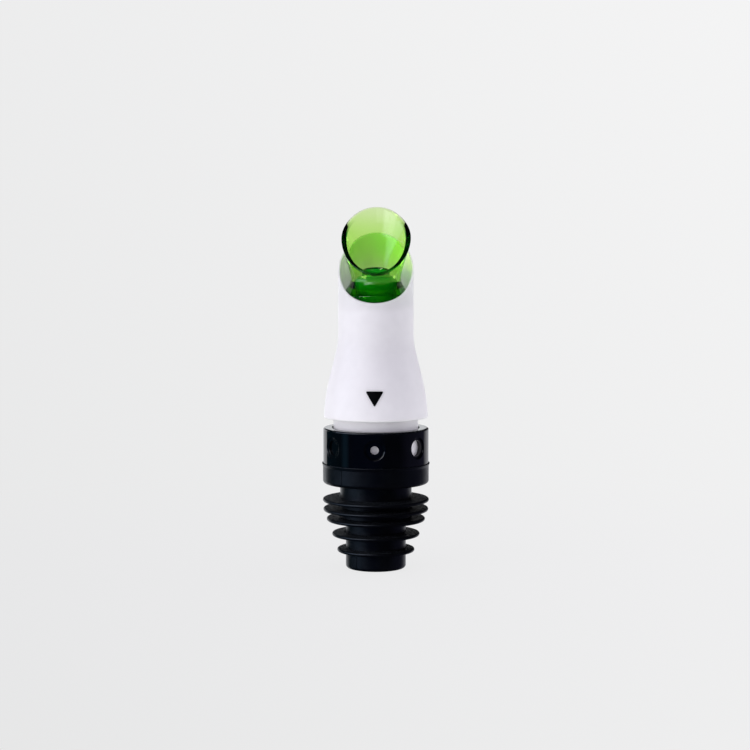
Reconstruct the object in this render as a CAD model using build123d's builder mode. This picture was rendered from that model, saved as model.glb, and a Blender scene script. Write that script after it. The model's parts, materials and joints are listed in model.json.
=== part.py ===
"""Bottle pour spout with a turning head that opens and closes an air vent.

A black rubber stopper plugs the bottle. Its cup holds a glossy collar with three vent
stations: closed, small and large. The white head turns inside the collar, and carries
the green pouring spout. Air enters at the chosen station, passes the drum into the
head's air chamber and goes down the breather tube, while the drink leaves up the middle.

Frame: the origin is the centre of the stopper flange's underside, which seats on the
bottle's mouth. +Z points up to the spout, -Y is the front with the pointer, and the
drink pours over the lip on the +Y side. Lengths are in millimetres.
"""
from build123d import *
from math import cos, radians, sin
import os

# ---------------------------------------------------------------- stopper (rubber)
flange_r = 12.25
flange_h = 4.75
flange_edge_r = 0.7
lip_flare = 0.26            # how far the cup's lip stands out
lip_edge_r = 0.12
cup_r = 11.55
cup_floor_z = 1.4
stopper_neck_r = 8.28
stopper_core_r = 6.96
stopper_bottom_z = -19.85
stopper_mouth_r = 5.65
stopper_mouth_bevel = 0.5
fin_rim_t = 0.8
fin_root_t = 1.3
fins = (                    # (height of the fin's middle, fin radius)
    (-3.90, 12.30),
    (-6.10, 12.16),
    (-8.40, 11.40),
    (-11.90, 10.15),
    (-15.60, 8.97),
)
neck_end_z = fins[2][0]     # the thick neck ends inside the third fin
seam_w = 0.22               # mould seam on the stopper's rubber
seam_proud = 0.09
seam_angle = -128.5         # degrees from +X, on the stopper's front left
weld = 0.25                 # how far joined bodies reach into each other, so that they fuse

# ---------------------------------------------------------------- base insert
spigot_r = 6.0
spigot_bottom_z = -16.5
base_top_z = 3.9
socket_r = 3.2
socket_floor_z = -2.5
inlet_r = 2.5
inlet_bevel = 0.8
air_bore_r = 0.65
air_offset = 4.6            # the air bore's distance from the axis
breather_r = 0.95
breather_seat_z = -10.0
breather_bottom_z = -19.0
grip_rib_z = -6.0           # rib that keys the spigot into the rubber
grip_rib_h = 1.2
grip_rib_proud = 0.3
seat_washer_t = 0.8

# ---------------------------------------------------------------- dial collar
collar_r = 12.2
collar_bore_r = 10.8
collar_shoulder_z = flange_h + 0.05
collar_top_z = 12.9
collar_lip_r = 10.1
collar_lip_under_z = 12.4
collar_edge_r = 0.4
collar_lip_edge_r = 0.15
skirt_rib_z = 2.6
skirt_rib_h = 0.8
skirt_rib_proud = 0.25
station_z = 8.85
station_step = 54.0         # degrees between neighbouring vent stations
small_hole_r = 0.95
small_recess_r = 2.0
small_recess_depth = 0.85
small_recess_edge_r = 0.5
large_hole_r = 1.9
large_recess_r = 2.35
large_recess_depth = 0.5
blind_hole_r = 1.7
blind_hole_depth = 0.75
blind_recess_r = 2.35
blind_recess_depth = 0.35
recess_edge_r = 0.2         # rounding of the other stations' recess rims
hole_edge_r = 0.1
clearance_cut = 1.0         # how far a cutting body reaches past what it cuts

# ---------------------------------------------------------------- turning head: drum and neck
running_gap = 0.08
drum_r = collar_bore_r - running_gap
drum_bottom_z = base_top_z + 0.1
drum_top_z = collar_lip_under_z - 0.2
chamber_r = 9.0
web_under_z = 10.9
neck_r = 9.78
neck_top_z = 15.27          # where the shell sits down on the neck
sleeve_top_z = 19.8
sleeve_plug_r = 9.3
sleeve_bore_r = 8.3
riser_r = socket_r - 0.05
riser_bore_r = 2.45
riser_bottom_z = socket_floor_z + seat_washer_t + 0.05
tower_r = 5.3               # tower in the neck that takes the nozzle's stem
tower_top_z = 18.4
stem_r = 4.0
stem_bottom_z = 13.4
oring_section_r = 0.4
oring_groove_w = 0.9
oring_outer_r = collar_bore_r - 0.02
oring_mid_r = oring_outer_r - oring_section_r
oring_zs = (5.75, 11.45)
stem_oring_section_r = 0.5
drum_shoulder_r = 0.2
vent_half_w = 2.4           # air pocket in the drum's front
vent_half_h = 1.5
vent_floor_r = drum_r - 0.4
vent_port_r = 0.62
vent_port_x = 1.66
seal_w = 0.5                # width of the rubber frame round the pocket
seal_floor_r = oring_mid_r - oring_section_r
stop_half_angle = 5.0       # half of the base's stop lug, degrees
stop_margin = 0.6
stop_inner_r = 9.3
stop_outer_r = 10.2
stop_gap = 0.1              # radial play of the lug in its slot
stop_h = 0.8

# ---------------------------------------------------------------- white shell
shell_base_r = 12.06
shell_start_deg = 2.9       # lean of the wall at the shell's foot
shell_lean_deg = 14.1       # lean of the straight taper
shell_bulge_r = 49.0
shell_taper_l = 5.95
shell_throat_r = 17.4
shell_bore_r = 7.8
shell_seat_r = 8.2          # bore above the ledge, where the spout stands
shell_cut_z = 49.4          # the oblique cut's height on the axis
shell_cut_deg = 44.3
shell_scoop_y = -3.7        # in front of this line the cut curves to the level
shell_scoop_r = 32.0
shell_top_z = 62.0
shell_edge_r = 0.15
shell_foot_edge_r = 0.35
ledge_top_z = 40.5
ledge_t = 1.5
ledge_r = 5.5
shell_flare_top_z = 33.5
shell_flare_foot = (10.1, 21.0)
pointer_w = 4.1
pointer_top_z = 22.2
pointer_h = 3.5
pointer_depth = 0.3
pointer_corner_r = 0.2

# ---------------------------------------------------------------- green spout
gasket_t = 0.5
spout_foot_z = ledge_top_z + gasket_t
spout_foot_r = 8.15
spout_foot_top_z = 43.5
spout_foot_edge_r = 0.15
spout_cove_start = (0.4, -1)        # direction in which the cove leaves the waist
spout_bore_r = 5.35
spout_waist_z = 46.6
spout_sections = (          # (height, radius, how far the circle's centre is moved to the front, wall)
    (spout_waist_z, 5.85, 0.0, 0.5),
    (48.4, 5.9, 0.0, 0.6),
    (50.0, 6.35, 0.05, 0.75),
    (52.5, 7.11, 0.21, 1.0),
    (55.6, 8.16, 0.66, 1.15),
    (58.5, 9.35, 1.47, 1.0),
    (61.5, 10.55, 2.27, 0.7),
    (65.0, 11.60, 2.90, 0.5),
)
spout_cut_z = 54.65
spout_cut_deg = 46.7
spout_edge_r = 0.16
nozzle_r = 5.1
nozzle_wall = 0.8
nozzle_shoulder_z = 45.94
nozzle_mouth_r = 3.2
nozzle_mouth_bore_r = 2.75
nozzle_neck_z = 48.2
nozzle_throat_zs = (18.9, 19.9)     # the bore widens between these heights
nozzle_cut_z = 49.15
nozzle_cut_deg = 12.0
nozzle_edge_r = 0.18
nozzle_foot_r = 7.4
nozzle_foot_t = 1.1
nozzle_seam_proud = 0.07    # mould seam down the nozzle's front
nozzle_seam_deg = 1.6

os.makedirs("parts", exist_ok=True)


def oblique(height, slope_deg):
    """The plane that trims a mouth: it rises towards +Y and crosses the axis at height."""
    slope = radians(slope_deg)
    return Plane(origin=(0, 0, height), x_dir=(1, 0, 0), z_dir=(0, -sin(slope), cos(slope)))


def front_at(angle):
    """A drawing plane outside the collar, facing out at angle degrees from +X."""
    out = (cos(radians(angle)), sin(radians(angle)), 0)
    return Plane(origin=(0, 0, station_z), x_dir=(-out[1], out[0], 0), z_dir=out)


front = -90.0               # the front's angle from +X, degrees

# ---------------------------------------------------------------- stopper
with BuildPart() as stopper:
    with BuildSketch(Plane.XZ):
        with BuildLine():
            Polyline(
                (stopper_mouth_r, stopper_bottom_z),
                (stopper_core_r, stopper_bottom_z),
                (stopper_core_r, neck_end_z),
                (stopper_neck_r, neck_end_z),
                (stopper_neck_r, 0),
                (flange_r, 0),
                (flange_r, flange_h - 3 * lip_flare),
                (flange_r + lip_flare, flange_h),
                (cup_r, flange_h),
                (cup_r, cup_floor_z),
                (spigot_r, cup_floor_z),
                (spigot_r, spigot_bottom_z),
                (stopper_mouth_r, spigot_bottom_z),
                close=True,
            )
        make_face()
        for fin_z, fin_r in fins:
            rim_r = fin_r - fin_rim_t / 2
            with BuildLine():
                root = Line((spigot_r + weld, fin_z - fin_root_t / 2), (rim_r, fin_z - fin_rim_t / 2))
                rim = ThreePointArc(root @ 1, (fin_r, fin_z), (rim_r, fin_z + fin_rim_t / 2))
                Polyline(rim @ 1, (spigot_r + weld, fin_z + fin_root_t / 2), root @ 0)
            make_face()
    revolve(axis=Axis.Z)
    round_edges = stopper.edges().filter_by(GeomType.CIRCLE)
    foot_edge = round_edges.group_by(Axis.Z)[0].sort_by(SortBy.RADIUS)
    fillet(foot_edge[-1], radius=flange_edge_r)
    chamfer(foot_edge[0], length=stopper_mouth_bevel)
    seat_edge = [e for e in round_edges if abs(e.radius - flange_r) < 0.01 and abs(e.center().Z) < 0.01]
    fillet(seat_edge, radius=flange_edge_r)
    lip_edge = [e for e in round_edges if abs(e.radius - flange_r - lip_flare) < 0.01]
    fillet(lip_edge, radius=lip_edge_r)
    for low_z, high_z, wall_r in (
        (flange_edge_r, flange_h - 3 * lip_flare, flange_r),
        (stopper_bottom_z + flange_edge_r, fins[-1][0] - fin_root_t / 2, stopper_core_r),
    ):
        with BuildSketch(Plane.XY.offset(low_z)):
            with PolarLocations(wall_r - weld, 1, start_angle=seam_angle):
                Rectangle(2 * (seam_proud + weld), seam_w)
        extrude(amount=high_z - low_z)
    with BuildSketch(Plane.XZ):
        with Locations((spigot_r, grip_rib_z)):
            Rectangle(2 * grip_rib_proud, grip_rib_h)
        with Locations((cup_r, skirt_rib_z)):
            Rectangle(2 * skirt_rib_proud, skirt_rib_h)
    revolve(axis=Axis.Z, mode=Mode.SUBTRACT)
stopper.part.label = "stopper"
export_step(stopper.part, "parts/stopper.step")

# ---------------------------------------------------------------- base insert
with BuildPart() as base_insert:
    with BuildSketch(Plane.XZ):
        with BuildLine():
            Polyline(
                (inlet_r, spigot_bottom_z),
                (spigot_r, spigot_bottom_z),
                (spigot_r, cup_floor_z),
                (collar_bore_r, cup_floor_z),
                (collar_bore_r, base_top_z),
                (socket_r, base_top_z),
                (socket_r, socket_floor_z),
                (inlet_r, socket_floor_z),
                close=True,
            )
        make_face()
        with Locations((spigot_r, grip_rib_z)):
            Rectangle(2 * grip_rib_proud, grip_rib_h)
    revolve(axis=Axis.Z)
    foot_edges = base_insert.edges().filter_by(GeomType.CIRCLE).group_by(Axis.Z)[0]
    chamfer(foot_edges.sort_by(SortBy.RADIUS)[0], length=inlet_bevel)
    with BuildSketch(Plane.XY.offset(base_top_z)):
        with BuildLine():
            low = front + 180 - stop_half_angle
            inner = CenterArc((0, 0), stop_inner_r, low, 2 * stop_half_angle)
            outer = CenterArc((0, 0), stop_outer_r, low, 2 * stop_half_angle)
            Line(inner @ 0, outer @ 0)
            Line(inner @ 1, outer @ 1)
        make_face()
    extrude(amount=stop_h)
    with Locations((0, -air_offset, base_top_z)):
        Hole(radius=air_bore_r)
    with BuildSketch(Plane.XY.offset(spigot_bottom_z)):
        with Locations((0, -air_offset)):
            Circle(breather_r)
    extrude(amount=breather_seat_z - spigot_bottom_z, mode=Mode.SUBTRACT)
base_insert.part.label = "base_insert"
export_step(base_insert.part, "parts/base_insert.step")

# ---------------------------------------------------------------- breather tube
with BuildPart() as breather_tube:
    with BuildSketch(Plane.XY.offset(breather_bottom_z)):
        with Locations((0, -air_offset)):
            Circle(breather_r)
            Circle(air_bore_r, mode=Mode.SUBTRACT)
    extrude(amount=breather_seat_z - breather_bottom_z)
breather_tube.part.label = "breather_tube"
export_step(breather_tube.part, "parts/breather_tube.step")

# ---------------------------------------------------------------- seat washer
with BuildPart() as seat_washer:
    with BuildSketch(Plane.XY.offset(socket_floor_z)):
        Circle(socket_r)
        Circle(inlet_r, mode=Mode.SUBTRACT)
    extrude(amount=seat_washer_t)
seat_washer.part.label = "seat_washer"
export_step(seat_washer.part, "parts/seat_washer.step")

# ---------------------------------------------------------------- dial collar
with BuildPart() as dial_collar:
    with BuildSketch(Plane.XZ):
        with BuildLine():
            Polyline(
                (collar_bore_r, cup_floor_z),
                (cup_r, cup_floor_z),
                (cup_r, collar_shoulder_z),
                (collar_r, collar_shoulder_z),
                (collar_r, collar_top_z),
                (collar_lip_r, collar_top_z),
                (collar_lip_r, collar_lip_under_z),
                (collar_bore_r, collar_lip_under_z),
                close=True,
            )
        make_face()
        with Locations((cup_r, skirt_rib_z)):
            Rectangle(2 * skirt_rib_proud, skirt_rib_h)
    revolve(axis=Axis.Z)
    with BuildSketch(Plane.XY.offset(cup_floor_z)):
        Circle(collar_bore_r)
    extrude(amount=collar_lip_under_z - cup_floor_z, mode=Mode.SUBTRACT)
    top_rims = dial_collar.edges().filter_by(GeomType.CIRCLE).group_by(Axis.Z)[-1].sort_by(SortBy.RADIUS)
    fillet(top_rims[0], radius=collar_lip_edge_r)
    fillet(top_rims[-1], radius=collar_edge_r)
    through = collar_r - collar_bore_r + clearance_cut
    station_cuts = (            # (station's angle, radius, depth, rounding of the rim)
        (front - station_step, blind_recess_r, blind_recess_depth, recess_edge_r),
        (front - station_step, blind_hole_r, blind_hole_depth, hole_edge_r),
        (front, small_recess_r, small_recess_depth, small_recess_edge_r),
        (front, small_hole_r, through, hole_edge_r),
        (front + station_step, large_recess_r, large_recess_depth, recess_edge_r),
        (front + station_step, large_hole_r, through, hole_edge_r),
    )
    for angle, cut_r, cut_depth, edge_r in station_cuts:
        with BuildSketch(front_at(angle).offset(collar_r - cut_depth)):
            Circle(cut_r)
        extrude(amount=cut_depth + clearance_cut, mode=Mode.SUBTRACT)
        wall = dial_collar.faces(Select.LAST).filter_by(GeomType.CYLINDER).sort_by(SortBy.AREA)[0]
        outward = Axis((0, 0, station_z), front_at(angle).z_dir)
        fillet(wall.edges().sort_by(outward)[-1], radius=edge_r)
dial_collar.part.label = "dial_collar"
export_step(dial_collar.part, "parts/dial_collar.step")

# ---------------------------------------------------------------- neck sleeve
with BuildPart() as neck_sleeve:
    with BuildSketch(Plane.XZ):
        with BuildLine():
            Polyline(
                (chamber_r, drum_bottom_z),
                (drum_r, drum_bottom_z),
                (drum_r, drum_top_z),
                (neck_r, drum_top_z),
                (neck_r, neck_top_z),
                (sleeve_plug_r, neck_top_z),
                (sleeve_plug_r, sleeve_top_z),
                (sleeve_bore_r, sleeve_top_z),
                (sleeve_bore_r, drum_top_z),
                (tower_r, drum_top_z),
                (tower_r, tower_top_z),
                (stem_r + 2 * stem_oring_section_r, tower_top_z),
                (stem_r + 2 * stem_oring_section_r, tower_top_z - 2 * stem_oring_section_r),
                (stem_r, tower_top_z - 2 * stem_oring_section_r),
                (stem_r, stem_bottom_z),
                (riser_bore_r, stem_bottom_z),
                (riser_bore_r, riser_bottom_z),
                (riser_r, riser_bottom_z),
                (riser_r, web_under_z),
                (chamber_r, web_under_z),
                close=True,
            )
        make_face()
        for groove_z in oring_zs:
            with Locations((drum_r, groove_z)):
                Rectangle(2 * (drum_r - seal_floor_r), oring_groove_w, mode=Mode.SUBTRACT)
    revolve(axis=Axis.Z)
    drum_rims = [e for e in neck_sleeve.edges().filter_by(GeomType.CIRCLE) if abs(e.radius - drum_r) < 0.01]
    fillet(ShapeList(drum_rims).sort_by(Axis.Z)[-1], radius=drum_shoulder_r)
    # the groove of the port seal, the air pocket inside it, and the two ports into the air chamber
    with BuildSketch(front_at(front).offset(seal_floor_r)):
        SlotOverall(2 * (vent_half_w + seal_w), 2 * (vent_half_h + seal_w))
        SlotOverall(2 * vent_half_w, 2 * vent_half_h, mode=Mode.SUBTRACT)
    extrude(amount=clearance_cut, mode=Mode.SUBTRACT)
    with BuildSketch(front_at(front).offset(vent_floor_r)):
        SlotOverall(2 * vent_half_w, 2 * vent_half_h)
    extrude(amount=clearance_cut, mode=Mode.SUBTRACT)
    with BuildSketch(front_at(front).offset(chamber_r - clearance_cut)):
        with Locations((-vent_port_x, 0), (vent_port_x, 0)):
            Circle(vent_port_r)
    extrude(amount=drum_r - chamber_r + clearance_cut, mode=Mode.SUBTRACT)
    # the slot that the base's stop lug runs in
    half_slot = station_step + stop_half_angle + stop_margin
    with BuildSketch(Plane.XY.offset(drum_bottom_z)):
        with BuildLine():
            start = front + 180 - half_slot
            inner = CenterArc((0, 0), stop_inner_r - stop_gap, start, 2 * half_slot)
            outer = CenterArc((0, 0), stop_outer_r + stop_gap, start, 2 * half_slot)
            Line(inner @ 0, outer @ 0)
            Line(inner @ 1, outer @ 1)
        make_face()
    extrude(amount=stop_h, mode=Mode.SUBTRACT)
neck_sleeve.part.label = "neck_sleeve"
export_step(neck_sleeve.part, "parts/neck_sleeve.step")

# ---------------------------------------------------------------- vent port seal
with BuildPart() as vent_port_seal:
    with BuildSketch(front_at(front).offset(seal_floor_r)):
        SlotOverall(2 * (vent_half_w + seal_w), 2 * (vent_half_h + seal_w))
        SlotOverall(2 * vent_half_w, 2 * vent_half_h, mode=Mode.SUBTRACT)
    extrude(amount=2 * (oring_outer_r - seal_floor_r))
    with BuildSketch(Plane.XY.offset(drum_bottom_z)):
        Circle(oring_outer_r)
    extrude(amount=drum_top_z - drum_bottom_z, mode=Mode.INTERSECT)
vent_port_seal.part.label = "vent_port_seal"
export_step(vent_port_seal.part, "parts/vent_port_seal.step")

# ---------------------------------------------------------------- O-rings of the drum and the stem
with BuildPart() as drum_o_ring_lower:
    with BuildSketch(Plane.XZ):
        with Locations((oring_mid_r, oring_zs[0])):
            Circle(oring_section_r)
    revolve(axis=Axis.Z)
drum_o_ring_lower.part.label = "drum_o_ring_lower"
export_step(drum_o_ring_lower.part, "parts/drum_o_ring_lower.step")

with BuildPart() as drum_o_ring_upper:
    with BuildSketch(Plane.XZ):
        with Locations((oring_mid_r, oring_zs[1])):
            Circle(oring_section_r)
    revolve(axis=Axis.Z)
drum_o_ring_upper.part.label = "drum_o_ring_upper"
export_step(drum_o_ring_upper.part, "parts/drum_o_ring_upper.step")

with BuildPart() as stem_o_ring:
    with BuildSketch(Plane.XZ):
        with Locations((stem_r + stem_oring_section_r, tower_top_z - stem_oring_section_r)):
            Circle(stem_oring_section_r)
    revolve(axis=Axis.Z)
stem_o_ring.part.label = "stem_o_ring"
export_step(stem_o_ring.part, "parts/stem_o_ring.step")


# ---------------------------------------------------------------- pointer and shell
def shell_outline():
    """Draws the shell's outer line from its foot to above the oblique cut; returns its two ends."""
    lean = radians(shell_start_deg)
    turn = shell_lean_deg - shell_start_deg
    bulge = JernArc((shell_base_r, neck_top_z), (-sin(lean), cos(lean)), shell_bulge_r, turn)
    taper = Line(bulge @ 1, bulge @ 1 + (bulge % 1) * shell_taper_l)
    throat = JernArc(taper @ 1, taper % 1, shell_throat_r, -shell_lean_deg)
    wall = Line(throat @ 1, ((throat @ 1).X, shell_top_z))
    return bulge @ 0, wall @ 1


with BuildPart() as pointer_inlay:
    with BuildSketch(Plane.XZ):
        with BuildLine():
            foot, top = shell_outline()
            Polyline(top, (0, top.Y), (0, foot.Y), foot)
        make_face()
    revolve(axis=Axis.Z)
    offset(amount=-pointer_depth, mode=Mode.SUBTRACT)
    with BuildSketch(Plane.XZ.offset(shell_base_r + clearance_cut)):
        with BuildLine():
            Polyline(
                (-pointer_w / 2, pointer_top_z),
                (pointer_w / 2, pointer_top_z),
                (0, pointer_top_z - pointer_h),
                close=True,
            )
        make_face()
        fillet(vertices(), radius=pointer_corner_r)
    extrude(amount=-shell_base_r, mode=Mode.INTERSECT)
pointer_inlay.part.label = "pointer_inlay"
export_step(pointer_inlay.part, "parts/pointer_inlay.step")

with BuildPart() as spout_shell:
    with BuildSketch(Plane.XZ):
        with BuildLine():
            foot, top = shell_outline()
            Polyline(
                top,
                (shell_seat_r, shell_top_z),
                (shell_seat_r, ledge_top_z),
                (ledge_r, ledge_top_z),
                (ledge_r, ledge_top_z - ledge_t),
                (shell_bore_r, ledge_top_z - ledge_t),
                (shell_bore_r, shell_flare_top_z),
                shell_flare_foot,
                (shell_flare_foot[0], sleeve_top_z),
                (sleeve_plug_r, sleeve_top_z),
                (sleeve_plug_r, neck_top_z),
                foot,
            )
        make_face()
    revolve(axis=Axis.Z)
    foot_rims = spout_shell.edges().filter_by(GeomType.CIRCLE).group_by(Axis.Z)[0]
    fillet(foot_rims.sort_by(SortBy.RADIUS)[-1], radius=shell_foot_edge_r)
    with BuildSketch(Plane.YZ):
        with BuildLine():
            slope = Vector(cos(radians(shell_cut_deg)), sin(radians(shell_cut_deg)))
            on_axis = Vector(0, shell_cut_z)
            plain = Line(on_axis + slope * 2 * shell_base_r, on_axis + slope * (shell_scoop_y / slope.X))
            scoop = JernArc(plain @ 1, plain % 1, shell_scoop_r, -shell_cut_deg)
            Polyline(scoop @ 1, ((scoop @ 1).X, (plain @ 0).Y), plain @ 0)
        make_face()
    extrude(amount=shell_base_r, both=True, mode=Mode.SUBTRACT)
    fillet(spout_shell.edges(Select.LAST).filter_by(GeomType.LINE, reverse=True), radius=shell_edge_r)
    add(pointer_inlay.part, mode=Mode.SUBTRACT)
spout_shell.part.label = "spout_shell"
export_step(spout_shell.part, "parts/spout_shell.step")

# ---------------------------------------------------------------- spout gasket
with BuildPart() as spout_gasket:
    with BuildSketch(Plane.XY.offset(ledge_top_z)):
        Circle(spout_foot_r)
        Circle(nozzle_r, mode=Mode.SUBTRACT)
    extrude(amount=gasket_t)
spout_gasket.part.label = "spout_gasket"
export_step(spout_gasket.part, "parts/spout_gasket.step")

# ---------------------------------------------------------------- spout tube
with BuildPart() as spout_core:
    with BuildSketch(Plane.XY.offset(spout_foot_z)):
        Circle(spout_bore_r)
    extrude(amount=spout_waist_z - spout_foot_z)
    for height, radius, forward, wall in spout_sections:
        with BuildSketch(Plane.XY.offset(height)):
            with Locations((0, -forward)):
                Circle(radius - wall)
    loft()

with BuildPart() as spout_tube:
    with BuildSketch(Plane.XZ):
        with BuildLine():
            waist = (spout_sections[0][1], spout_waist_z)
            foot_top = (spout_foot_r, spout_foot_top_z)
            TangentArc(waist, foot_top, tangent=spout_cove_start)
            Polyline(foot_top, (spout_foot_r, spout_foot_z), (0, spout_foot_z), (0, spout_waist_z), waist)
        make_face()
    revolve(axis=Axis.Z)
    foot_rims = spout_tube.edges().filter_by(GeomType.CIRCLE).group_by(SortBy.RADIUS)[-1]
    fillet(foot_rims.sort_by(Axis.Z)[-1], radius=spout_foot_edge_r)
    for height, radius, forward, _ in spout_sections:
        with BuildSketch(Plane.XY.offset(height)):
            with Locations((0, -forward)):
                Circle(radius)
    loft()
    add(spout_core.part, mode=Mode.SUBTRACT)
    split(bisect_by=oblique(spout_cut_z, spout_cut_deg), keep=Keep.BOTTOM)
    mouth = spout_tube.faces().filter_by(oblique(spout_cut_z, spout_cut_deg)).sort_by(Axis.Z)[-1]
    fillet(mouth.edges(), radius=spout_edge_r)
spout_tube.part.label = "spout_tube"
export_step(spout_tube.part, "parts/spout_tube.step")

# ---------------------------------------------------------------- pour nozzle
def nozzle_side(start_z, grow):
    """Draws the nozzle's side and shoulder from start_z, moved out by grow; returns its two ends."""
    side = Line((nozzle_r + grow, start_z), (nozzle_r + grow, nozzle_shoulder_z))
    shoulder = TangentArc(side @ 1, (nozzle_mouth_r, nozzle_neck_z + grow), tangent=(0, 1))
    return side @ 0, shoulder @ 1


nozzle_foot_top_z = ledge_top_z - ledge_t
nozzle_bore_r = nozzle_r - nozzle_wall
stem_bore_r = stem_r - nozzle_wall
half_seam = radians(nozzle_seam_deg / 2)
seam_plane = Plane(
    origin=(0, 0, 0),
    x_dir=(-sin(half_seam), -cos(half_seam), 0),
    z_dir=(-cos(half_seam), sin(half_seam), 0),
)
with BuildPart() as pour_nozzle:
    with BuildSketch(Plane.XZ):
        with BuildLine():
            side_foot, side_top = nozzle_side(nozzle_foot_top_z, 0)
            Polyline(
                side_top,
                (nozzle_mouth_r, spout_cut_z),
                (nozzle_mouth_bore_r, spout_cut_z),
                (nozzle_mouth_bore_r, nozzle_neck_z - nozzle_wall),
            )
            TangentArc(
                (nozzle_bore_r, nozzle_shoulder_z),
                (nozzle_mouth_bore_r, nozzle_neck_z - nozzle_wall),
                tangent=(0, 1),
            )
            Polyline(
                (nozzle_bore_r, nozzle_shoulder_z),
                (nozzle_bore_r, nozzle_throat_zs[1]),
                (stem_bore_r, nozzle_throat_zs[0]),
                (stem_bore_r, stem_bottom_z),
                (stem_r, stem_bottom_z),
                (stem_r, tower_top_z),
                (nozzle_r, tower_top_z),
                (nozzle_r, nozzle_foot_top_z - nozzle_foot_t),
                (nozzle_foot_r, nozzle_foot_top_z - nozzle_foot_t),
                (nozzle_foot_r, nozzle_foot_top_z),
                side_foot,
            )
        make_face()
    revolve(axis=Axis.Z)
    with BuildSketch(seam_plane):
        with BuildLine():
            proud_foot, proud_top = nozzle_side(spout_foot_z, nozzle_seam_proud)
            sunk_foot, sunk_top = nozzle_side(spout_foot_z, -nozzle_wall / 2)
            Line(proud_foot, sunk_foot)
            Line(proud_top, sunk_top)
        make_face()
    revolve(axis=Axis.Z, revolution_arc=nozzle_seam_deg)
    split(bisect_by=oblique(nozzle_cut_z, nozzle_cut_deg), keep=Keep.BOTTOM)
    rim = pour_nozzle.faces().filter_by(oblique(nozzle_cut_z, nozzle_cut_deg)).sort_by(Axis.Z)[-1]
    fillet(rim.edges(), radius=nozzle_edge_r)
pour_nozzle.part.label = "pour_nozzle"
export_step(pour_nozzle.part, "parts/pour_nozzle.step")
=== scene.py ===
"""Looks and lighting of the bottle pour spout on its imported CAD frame. Metres, +Z up, -Y the front."""

import json
import math

import bpy
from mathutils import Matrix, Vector


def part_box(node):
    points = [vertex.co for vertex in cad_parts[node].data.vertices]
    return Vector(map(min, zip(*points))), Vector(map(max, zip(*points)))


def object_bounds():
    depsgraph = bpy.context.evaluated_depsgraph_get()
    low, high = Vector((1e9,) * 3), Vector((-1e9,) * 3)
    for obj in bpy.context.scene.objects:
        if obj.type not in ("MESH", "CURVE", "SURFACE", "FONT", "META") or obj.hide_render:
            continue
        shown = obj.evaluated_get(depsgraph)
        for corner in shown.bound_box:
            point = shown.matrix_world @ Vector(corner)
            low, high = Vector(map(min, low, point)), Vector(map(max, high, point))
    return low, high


MM = 0.001
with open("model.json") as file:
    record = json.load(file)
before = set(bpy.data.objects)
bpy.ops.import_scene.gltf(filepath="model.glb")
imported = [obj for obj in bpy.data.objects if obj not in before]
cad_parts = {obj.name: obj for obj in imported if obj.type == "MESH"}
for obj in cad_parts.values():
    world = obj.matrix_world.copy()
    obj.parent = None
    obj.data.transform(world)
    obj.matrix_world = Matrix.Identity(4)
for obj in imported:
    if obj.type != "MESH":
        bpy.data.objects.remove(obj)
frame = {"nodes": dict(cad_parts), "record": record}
bpy.context.view_layer.update()
nodes = frame["nodes"]
scene = bpy.context.scene


# ---------------------------------------------------------------- node helpers
def new_material(name):
    """An empty node material; returns it and its tree."""
    made = bpy.data.materials.new(name)
    made.use_nodes = True
    made.node_tree.nodes.clear()
    return made, made.node_tree


def add(tree, kind, **settings):
    """Adds a node. Inputs are given by name with _ for spaces; a socket as a value is linked."""
    node = tree.nodes.new(kind)
    for key, value in settings.items():
        if hasattr(node, key):
            setattr(node, key, value)
            continue
        socket = node.inputs[key.replace("_", " ")]
        if isinstance(value, bpy.types.NodeSocket):
            tree.links.new(value, socket)
        else:
            socket.default_value = value
    return node


def spread(tree, value, low, high, start=0.0, end=1.0):
    """Maps a value from start..end to low..high."""
    node = add(tree, "ShaderNodeMapRange")
    tree.links.new(value, node.inputs["Value"])
    for key, number in (("From Min", start), ("From Max", end), ("To Min", low), ("To Max", high)):
        node.inputs[key].default_value = number
    return node.outputs["Result"]


def calc(tree, operation, a, b=0.0):
    """One arithmetic step; a and b are numbers or sockets."""
    node = add(tree, "ShaderNodeMath", operation=operation)
    for socket, value in zip(node.inputs, (a, b)):
        if isinstance(value, bpy.types.NodeSocket):
            tree.links.new(value, socket)
        else:
            socket.default_value = value
    return node.outputs["Value"]


def height_of(tree, place):
    """The height of a place, or the upward share of a direction."""
    split = add(tree, "ShaderNodeSeparateXYZ")
    tree.links.new(place, split.inputs["Vector"])
    return split.outputs["Z"]


def noise(tree, place, size, detail=3.0, rough=0.55):
    """Noise whose blobs are about size metres across."""
    node = add(tree, "ShaderNodeTexNoise", Scale=1.0 / size, Detail=detail, Roughness=rough)
    tree.links.new(place, node.inputs["Vector"])
    return node.outputs["Fac"]


def blend(tree, factor, a, b):
    """Mixes two colours; each is a tuple or a socket."""
    node = add(tree, "ShaderNodeMix", data_type="RGBA")
    for index, value in ((0, factor), (6, a), (7, b)):
        if isinstance(value, bpy.types.NodeSocket):
            tree.links.new(value, node.inputs[index])
        else:
            node.inputs[index].default_value = value if index == 0 else (*value, 1.0)
    return node.outputs[2]


def place_of(tree):
    """The place on the piece, in its own frame."""
    return add(tree, "ShaderNodeTexCoord").outputs["Object"]


def band(tree, place, height, half_width):
    """1 at a height of the row frame, falling to 0 at half_width from it."""
    away = calc(tree, "ABSOLUTE", calc(tree, "SUBTRACT", height_of(tree, place), height))
    return spread(tree, away, 1.0, 0.0, 0.0, half_width)


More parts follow.
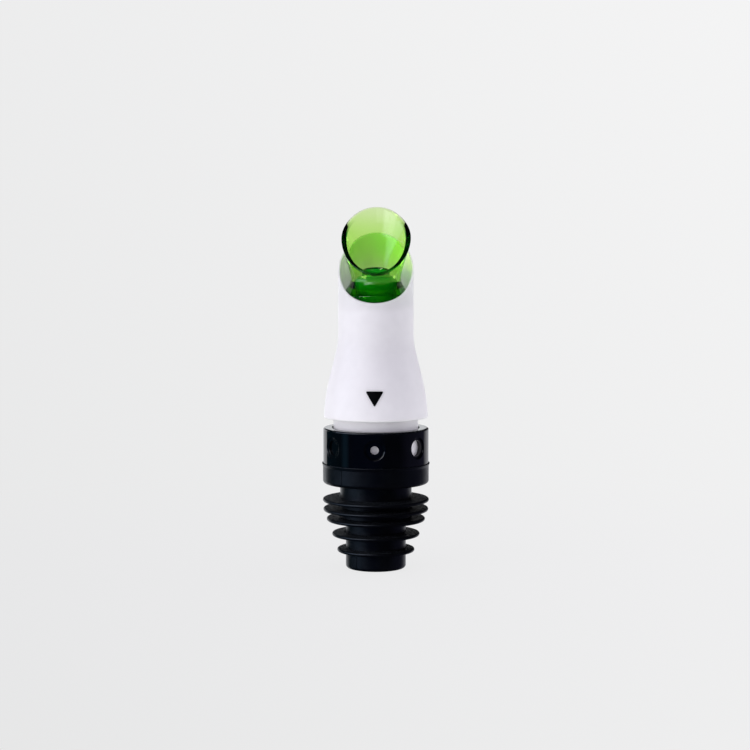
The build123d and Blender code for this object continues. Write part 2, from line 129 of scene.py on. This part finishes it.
# ---------------------------------------------------------------- materials
MIDDLE = (0.3, 0.7)              # the part of a noise's values that its pattern is drawn from
MOTTLE_SIZE = 2.6 * MM           # colour patches
SMEAR_SIZE = 1.7 * MM            # patches of duller and brighter sheen
RUBBED_SIZE = 0.9 * MM           # patches where an edge is worn
RUBBED_VALUES = (0.48, 0.62)     # the noise's values between which the wear sets in
DUST_SIZE = 0.22 * MM            # specks of dust
DUST_VALUES = (0.46, 0.66)       # the noise's values between which they set in
DUST_SLOPES = (0.55, 0.95)       # how much a face looks up where dust begins to lie and lies fully
DUST_ROUGHNESS = 0.9             # how dull a dusty face is between the specks
MILK_DEPTH = 1.4 * MM            # how far light wanders inside a milky plastic
HAZE_SIZE = 1.5 * MM             # patches of haze on a clear plastic
WAVE_SIZE = 2.2 * MM             # slow waves of its surface
CLEAR_IOR = 1.5
LAMP_PASSES = (0.95, 0.95, 0.7)  # what each wall of a clear plastic lets through of a lamp's light
RIM_SHADE_SOFT = 0.12 * MM             # the soft border of the shade painted along a clear plastic's cut rim
MOUTH_TILT = 46.7                # the spout tube's cut, in degrees from level
NOZZLE_TILT = 12.0               # and the nozzle's


def plastic(
    name,
    colour,
    tone,
    roughness,
    grain,
    relief,
    specular=0.5,
    sheen=(1.0, 1.0, 1.0),
    milky=0.0,
    worn=(),
    worn_colour=None,
    dust=None,
):
    """A moulded plastic or rubber.

    colour and tone are the two ends of its mottling, roughness its two limits, grain the size of its
    surface texture and relief that texture's height, in metres. sheen tints its highlights. milky is how
    much light sinks in and comes out again nearby. worn lists (height, half width) bands where handling
    has rubbed an edge to worn_colour. dust tints the faces that look up and dulls them between its specks.
    """
    made, tree = new_material(name)
    place = place_of(tree)
    mottle = spread(tree, noise(tree, place, MOTTLE_SIZE, 4.0), 0.0, 1.0, *MIDDLE)
    base = blend(tree, mottle, colour, tone)
    if worn:
        edge = 0.0
        for height, half_width in worn:
            edge = calc(tree, "MAXIMUM", edge, band(tree, place, height, half_width))
        rubbed = spread(tree, noise(tree, place, RUBBED_SIZE, 5.0, 0.7), 0.0, 1.0, *RUBBED_VALUES)
        base = blend(tree, calc(tree, "MULTIPLY", edge, rubbed), base, worn_colour)
    smears = spread(tree, noise(tree, place, SMEAR_SIZE, 5.0, 0.6), *roughness, *MIDDLE)
    if dust:
        slope = height_of(tree, add(tree, "ShaderNodeNewGeometry").outputs["Normal"])
        up = spread(tree, slope, 0.0, 1.0, *DUST_SLOPES)
        specks = spread(tree, noise(tree, place, DUST_SIZE, 4.0, 0.75), 0.0, 1.0, *DUST_VALUES)
        base = blend(tree, calc(tree, "MULTIPLY", up, specks), base, dust)
        dull = calc(tree, "MULTIPLY", up, calc(tree, "SUBTRACT", 1.0, specks))
        smears = calc(tree, "MAXIMUM", smears, calc(tree, "MULTIPLY", dull, DUST_ROUGHNESS))
    pores = noise(tree, place, grain, 3.0, 0.6)
    bump = add(tree, "ShaderNodeBump", Distance=relief, Strength=1.0, Height=pores)
    shader = add(
        tree,
        "ShaderNodeBsdfPrincipled",
        Base_Color=base,
        Roughness=smears,
        Normal=bump.outputs["Normal"],
        Specular_IOR_Level=specular,
    )
    shader.inputs["Specular Tint"].default_value = (*sheen, 1.0)
    shader.inputs["Subsurface Weight"].default_value = milky
    shader.inputs["Subsurface Radius"].default_value = (1.0, 1.0, 1.0)
    shader.inputs["Subsurface Scale"].default_value = MILK_DEPTH
    output = add(tree, "ShaderNodeOutputMaterial")
    tree.links.new(shader.outputs["BSDF"], output.inputs["Surface"])
    return made


def rim_shade_mask(tree, place, node, tilt, depth, fade=None):
    """1 within depth of the oblique cut that ends a node, tilted so many degrees towards the front; it masks
    the shade painted along that cut rim.

    fade gives two distances below the node's top between which the painted rim shade sets in.
    """
    out = Vector((0.0, -math.sin(math.radians(tilt)), math.cos(math.radians(tilt))))
    plane = max(out.dot(vertex.co) for vertex in nodes[node].data.vertices)
    along = add(tree, "ShaderNodeVectorMath", operation="DOT_PRODUCT")
    tree.links.new(place, along.inputs[0])
    along.inputs[1].default_value = out
    near = spread(tree, along.outputs["Value"], 0.0, 1.0, plane - depth - RIM_SHADE_SOFT, plane - depth)
    if fade:
        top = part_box(node)[1].z
        lower = spread(tree, height_of(tree, place), 1.0, 0.0, top - fade[1], top - fade[0])
        near = calc(tree, "MULTIPLY", near, lower)
    return near


def clear_plastic(name, absorb, roughness, relief, rim, painted_rim_shade, tint=(1.0, 1.0, 1.0), clear=1.0):
    """A see-through plastic; absorb is what a metre of it takes off red, green and blue.

    tint colours each surface, and clear is the share of light that passes rather than scatters there.
    rim holds the arguments of the cut edge along which shade is painted, darkening the walls to the colour
    given after it.
    """
    made, tree = new_material(name)
    place = place_of(tree)
    # the walls are darkened near the cut rim: painted shade, standing in for the dark that the cut edge
    # reflects and refracts
    surface = blend(tree, rim_shade_mask(tree, place, *rim), tint, painted_rim_shade)
    haze = spread(tree, noise(tree, place, HAZE_SIZE, 4.0), *roughness, *MIDDLE)
    waves = noise(tree, place, WAVE_SIZE, 2.0)
    bump = add(tree, "ShaderNodeBump", Distance=relief, Strength=1.0, Height=waves)
    shader = add(tree, "ShaderNodeBsdfPrincipled", Base_Color=surface, Roughness=haze, IOR=CLEAR_IOR)
    tree.links.new(bump.outputs["Normal"], shader.inputs["Normal"])
    shader.inputs["Transmission Weight"].default_value = clear
    density = max(absorb) * 1.05  # a little over the strongest, so that no channel of the colour is zero
    inside = add(
        tree,
        "ShaderNodeVolumeAbsorption",
        Color=(*(1.0 - a / density for a in absorb), 1.0),
        Density=density,
    )
    # lamps shine through the walls, which tint their light on its way to what stands inside
    passed = (*(share * math.sqrt(colour) for share, colour in zip(LAMP_PASSES, tint)), 1.0)
    shade = add(tree, "ShaderNodeBsdfTransparent", Color=passed)
    pick = add(tree, "ShaderNodeMixShader", Fac=add(tree, "ShaderNodeLightPath").outputs["Is Shadow Ray"])
    tree.links.new(shader.outputs["BSDF"], pick.inputs[1])
    tree.links.new(shade.outputs["BSDF"], pick.inputs[2])
    output = add(tree, "ShaderNodeOutputMaterial")
    tree.links.new(pick.outputs["Shader"], output.inputs["Surface"])
    tree.links.new(inside.outputs["Volume"], output.inputs["Volume"])
    return made


collar_low, collar_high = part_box("dial_collar")
LOOKS = {
    "stopper_rubber": plastic(
        "stopper_rubber",
        (0.0012, 0.0015, 0.0022),
        (0.0004, 0.0005, 0.0009),
        (0.28, 0.4),
        0.14 * MM,
        0.010 * MM,
        specular=0.45,
        sheen=(0.8, 0.88, 1.0),
        dust=(0.007, 0.008, 0.010),
    ),
    "gloss_black_plastic": plastic(
        "gloss_black_plastic",
        (0.0010, 0.0012, 0.0022),
        (0.0005, 0.0007, 0.0012),
        (0.03, 0.09),
        0.9 * MM,
        0.0006 * MM,
        worn=((collar_high.z - 0.2 * MM, 0.25 * MM),),
        worn_colour=(0.02, 0.022, 0.028),
    ),
    "white_plastic": plastic(
        "white_plastic",
        (0.88, 0.88, 0.89),
        (0.85, 0.85, 0.86),
        (0.38, 0.48),
        0.25 * MM,
        0.0015 * MM,
        milky=0.75,
    ),
    "satin_black_plastic": plastic(
        "satin_black_plastic", (0.016, 0.016, 0.018), (0.01, 0.01, 0.012), (0.4, 0.55), 0.3 * MM, 0.004 * MM
    ),
    "natural_plastic": plastic(
        "natural_plastic", (0.72, 0.73, 0.7), (0.66, 0.67, 0.63), (0.35, 0.5), 0.3 * MM, 0.003 * MM
    ),
    "seal_silicone": plastic(
        "seal_silicone", (0.6, 0.61, 0.6), (0.52, 0.53, 0.52), (0.5, 0.65), 0.2 * MM, 0.004 * MM
    ),
    "o_ring_rubber": plastic(
        "o_ring_rubber", (0.012, 0.012, 0.013), (0.008, 0.008, 0.009), (0.3, 0.5), 0.15 * MM, 0.004 * MM
    ),
    "pointer_black": plastic(
        "pointer_black",
        (0.0012, 0.0012, 0.0016),
        (0.0006, 0.0006, 0.0008),
        (0.3, 0.42),
        0.2 * MM,
        0.003 * MM,
        specular=0.12,
    ),
    "green_clear_plastic": clear_plastic(
        "green_clear_plastic",
        (560.0, 118.0, 1400.0),
        (0.0, 0.025),
        0.0012 * MM,
        # a darker band of painted shade along the tube's cut rim, for the dark its cut edge reflects and
        # refracts
        rim=("spout_tube", MOUTH_TILT, 0.22 * MM, (3.0 * MM, 6.0 * MM)),
        painted_rim_shade=(0.006, 0.12, 0.035),
    ),
}

# pieces whose look differs from the rest of their slot: the nozzle is moulded in a deeper green
OWN_LOOKS = {
    "pour_nozzle": clear_plastic(
        "nozzle_clear_plastic",
        (300.0, 60.0, 300.0),
        (0.0, 0.02),
        0.0012 * MM,
        tint=(0.02, 0.52, 0.05),
        clear=0.72,
        # a darker ring of painted shade along the nozzle's cut mouth, for the dark lines its edge shows
        rim=("pour_nozzle", NOZZLE_TILT, 0.25 * MM),
        painted_rim_shade=(0.0, 0.04, 0.006),
    ),
}

for part in frame["record"]["subparts"]:
    name = part["node"]
    slot = part["material_slot"]
    shown = nodes[name]
    shown.data.materials.clear()
    shown.data.materials.append(OWN_LOOKS.get(name, LOOKS[slot]))


# ---------------------------------------------------------------- stage
low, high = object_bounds()
height = high.z - low.z
TONE_LOW = (0.795, 0.797, 0.8)       # the paper's tone at the picture's lower left
TONE_HIGH = (0.905, 0.905, 0.908)    # and at its upper right
ACROSS_SHARE = 0.55                  # how much of that change runs across the picture
UP_SHARE = 0.45                      # and how much up it
SHADOW_FULL = 0.02                   # how far from the object the floor takes its soft shadow fully
SHADOW_REACH = 0.16                  # and how far it takes any
FLOOR_ALBEDO = 0.07                  # how much lamp light it returns there
FLOOR_LIGHT = 0.95                   # light that falls on the bare floor, as a share of white


def paper_tone(tree):
    """The studio paper's tone, which brightens slowly from the picture's lower left to its upper right."""
    split = add(tree, "ShaderNodeSeparateXYZ")
    tree.links.new(add(tree, "ShaderNodeTexCoord").outputs["Window"], split.inputs["Vector"])
    across = calc(tree, "MULTIPLY", split.outputs["X"], ACROSS_SHARE)
    up = calc(tree, "MULTIPLY", split.outputs["Y"], UP_SHARE)
    return blend(tree, calc(tree, "ADD", across, up), TONE_LOW, TONE_HIGH)


def stage_material(name, takes_shadow):
    """Pale paper that glows evenly, so that it joins the backdrop without a line. Its back isn't seen."""
    made, tree = new_material(name)
    share = 0.0
    if takes_shadow:
        away = add(tree, "ShaderNodeVectorMath", operation="LENGTH")
        tree.links.new(place_of(tree), away.inputs[0])
        share = spread(tree, away.outputs["Value"], FLOOR_ALBEDO, 0.0, SHADOW_FULL, SHADOW_REACH)
    glow = calc(tree, "SUBTRACT", 1.0, calc(tree, "MULTIPLY", share, FLOOR_LIGHT))
    light = add(tree, "ShaderNodeEmission", Color=paper_tone(tree), Strength=glow)
    grey = add(tree, "ShaderNodeCombineColor")
    for channel in ("Red", "Green", "Blue"):
        if takes_shadow:
            tree.links.new(share, grey.inputs[channel])
        else:
            grey.inputs[channel].default_value = 0.0
    matt = add(tree, "ShaderNodeBsdfDiffuse", Color=grey.outputs["Color"])
    both = add(tree, "ShaderNodeAddShader")
    tree.links.new(light.outputs[0], both.inputs[0])
    tree.links.new(matt.outputs[0], both.inputs[1])
    clear = add(tree, "ShaderNodeBsdfTransparent")
    mix = add(tree, "ShaderNodeMixShader")
    tree.links.new(add(tree, "ShaderNodeNewGeometry").outputs["Backfacing"], mix.inputs[0])
    tree.links.new(both.outputs[0], mix.inputs[1])
    tree.links.new(clear.outputs[0], mix.inputs[2])
    output = add(tree, "ShaderNodeOutputMaterial")
    tree.links.new(mix.outputs[0], output.inputs["Surface"])
    return made


def sheet(name, corners, material):
    """A flat four-cornered sheet that belongs to the stage."""
    mesh = bpy.data.meshes.new(name)
    mesh.from_pydata([tuple(c) for c in corners], [], [(0, 1, 2, 3)])
    mesh.materials.append(material)
    made = bpy.data.objects.new(name, mesh)
    scene.collection.objects.link(made)
    return made


BACKDROP_AWAY = 1.6
BACKDROP_HALF = 1.25
BACKDROP_TALL = 0.45
FLOOR_FRONT = 0.2
FLOOR_HALF = 0.6
floor = sheet(
    "floor",
    [
        (-FLOOR_HALF, -FLOOR_FRONT, low.z),
        (FLOOR_HALF, -FLOOR_FRONT, low.z),
        (BACKDROP_HALF, BACKDROP_AWAY, low.z),
        (-BACKDROP_HALF, BACKDROP_AWAY, low.z),
    ],
    stage_material("stage_floor", True),
)
floor.visible_glossy = False
backdrop = sheet(
    "backdrop",
    [
        (-BACKDROP_HALF, BACKDROP_AWAY, low.z),
        (BACKDROP_HALF, BACKDROP_AWAY, low.z),
        (BACKDROP_HALF, BACKDROP_AWAY, low.z + BACKDROP_TALL),
        (-BACKDROP_HALF, BACKDROP_AWAY, low.z + BACKDROP_TALL),
    ],
    stage_material("stage_wall", False),
)
backdrop.visible_glossy = False

ROOM_TONE = (0.58, 0.55, 0.645)      # what matt surfaces gather from the room
GLOSS_TONE = (0.008, 0.010, 0.016)   # what polished surfaces see of the dark half of the room
GLOSS_PANELS = (                     # things in it: (azimuth, half width, soft edge, lowest, highest, colour)
    (-105.0, 30.0, 20.0, -40.0, 40.0, (0.006, 0.030, 0.045)),
    (-22.0, 24.0, 22.0, -40.0, 40.0, (0.006, 0.014, 0.050)),
    (104.0, 26.0, 24.0, -40.0, -1.0, (0.060, 0.058, 0.105)),
    (-69.0, 3.0, 8.0, -40.0, -1.0, (0.05, 0.14, 0.23)),
    (-72.0, 20.0, 16.0, 0.0, 26.0, (1.2, 1.45, 1.9)),
    (-42.0, 14.0, 10.0, 20.0, 48.0, (2.6, 2.7, 3.0)),
    (-158.0, 22.0, 3.0, -30.0, 11.0, (0.95, 0.97, 1.0)),
    (162.0, 18.0, 15.0, -30.0, -1.0, (0.7, 0.7, 0.74)),
    (177.0, 4.0, 2.0, -1.0, 8.0, (0.9, 0.9, 0.92)),
)
world = bpy.data.worlds.new("studio")
scene.world = world
world.use_nodes = True
tree = world.node_tree
tree.nodes.clear()
look = add(tree, "ShaderNodeSeparateXYZ")
tree.links.new(add(tree, "ShaderNodeTexCoord").outputs["Generated"], look.inputs["Vector"])
turn = calc(tree, "ARCTAN2", look.outputs["X"], calc(tree, "MULTIPLY", look.outputs["Y"], -1.0))
dark_room = GLOSS_TONE
for azimuth, half, edge, lowest, highest, colour in GLOSS_PANELS:
    off = calc(tree, "ABSOLUTE", calc(tree, "SUBTRACT", turn, math.radians(azimuth)))
    inside = spread(tree, off, 1.0, 0.0, math.radians(half), math.radians(half + edge))
    above = calc(tree, "GREATER_THAN", look.outputs["Z"], math.sin(math.radians(lowest)))
    below = calc(tree, "LESS_THAN", look.outputs["Z"], math.sin(math.radians(highest)))
    inside = calc(tree, "MULTIPLY", inside, calc(tree, "MULTIPLY", above, below))
    dark_room = blend(tree, inside, dark_room, colour)
path = add(tree, "ShaderNodeLightPath")
seen = calc(tree, "MAXIMUM", path.outputs["Is Camera Ray"], path.outputs["Is Transmission Ray"])
room = blend(tree, path.outputs["Is Glossy Ray"], ROOM_TONE, dark_room)
sky = add(tree, "ShaderNodeBackground", Color=blend(tree, seen, room, paper_tone(tree)))
output = add(tree, "ShaderNodeOutputWorld")
tree.links.new(sky.outputs[0], output.inputs["Surface"])


NEUTRAL = (1.0, 1.0, 1.0)
LILAC = (0.98, 0.96, 1.0)
LAMPS = (                            # softbox's arguments
    ("key_left", -58.0, 20.0, 0.8, 0.56, 0.54, 0.45, (0.96, 1.0, 0.95), True),
    ("fill_front", -20.0, 40.0, 0.9, 0.5, 0.34, 0.42, (0.95, 0.90, 1.0), True),
    ("rim_left", -150.0, 4.0, 0.8, 0.28, 0.5, 0.7, NEUTRAL, False),
    ("rim_right", 145.0, 4.0, 0.8, 0.28, 0.5, 1.0, NEUTRAL, False),
    ("low_left", -58.0, -1.0, 0.7, 0.3, 0.2, 2.0, LILAC, False),
    ("low_right", 104.0, -1.0, 0.7, 0.3, 0.2, 1.7, LILAC, False),
)


def softbox(name, azimuth, elevation, distance, width, tall, watts, colour, glossy):
    """A large soft light that looks at the object. Azimuth 0 is the front and 90 the right side.

    glossy says whether polished surfaces mirror it.
    """
    centre = (low + high) / 2
    a, e = math.radians(azimuth), math.radians(elevation)
    out = Vector((math.sin(a) * math.cos(e), -math.cos(a) * math.cos(e), math.sin(e)))
    light = bpy.data.lights.new(name, "AREA")
    light.shape = "RECTANGLE"
    light.size = width
    light.size_y = tall
    light.energy = watts
    light.color = colour
    made = bpy.data.objects.new(name, light)
    made.location = centre + out * distance
    made.rotation_euler = (-out).to_track_quat("-Z", "Y").to_euler()
    made.visible_camera = False
    made.visible_glossy = glossy
    scene.collection.objects.link(made)


for lamp in LAMPS:
    softbox(*lamp)

# ---------------------------------------------------------------- camera
CAMERA_DISTANCE = 0.441
CAMERA_ELEVATION = math.radians(4.8)
CAMERA_AZIMUTH = math.radians(1.5)
AIM_SHARE = 0.5370          # the aim's height as a share of the object's
AIM_SIDE = -0.2 * MM
FOCAL_LENGTH = 91.7
SENSOR_WIDTH = 36.0
CLIP_NEAR = 0.01
CLIP_FAR = 20.0
aim = Vector((AIM_SIDE, 0.0, low.z + AIM_SHARE * height))
away = Vector(
    (
        math.sin(CAMERA_AZIMUTH) * math.cos(CAMERA_ELEVATION),
        -math.cos(CAMERA_AZIMUTH) * math.cos(CAMERA_ELEVATION),
        math.sin(CAMERA_ELEVATION),
    )
)
lens = bpy.data.cameras.new("camera")
lens.lens = FOCAL_LENGTH
lens.sensor_width = SENSOR_WIDTH
lens.clip_start = CLIP_NEAR
lens.clip_end = CLIP_FAR
camera = bpy.data.objects.new("camera", lens)
camera.location = aim + away * CAMERA_DISTANCE
camera.rotation_euler = (-away).to_track_quat("-Z", "Y").to_euler()
scene.collection.objects.link(camera)
scene.camera = camera

# ---------------------------------------------------------------- render look
scene.view_settings.view_transform = "Standard"
scene.view_settings.look = "None"
scene.cycles.use_denoising = True
scene.cycles.max_bounces = 24
scene.cycles.transmission_bounces = 20
scene.cycles.glossy_bounces = 8
scene.cycles.transparent_max_bounces = 16
scene.cycles.sample_clamp_indirect = 6.0

bpy.context.view_layer.update()
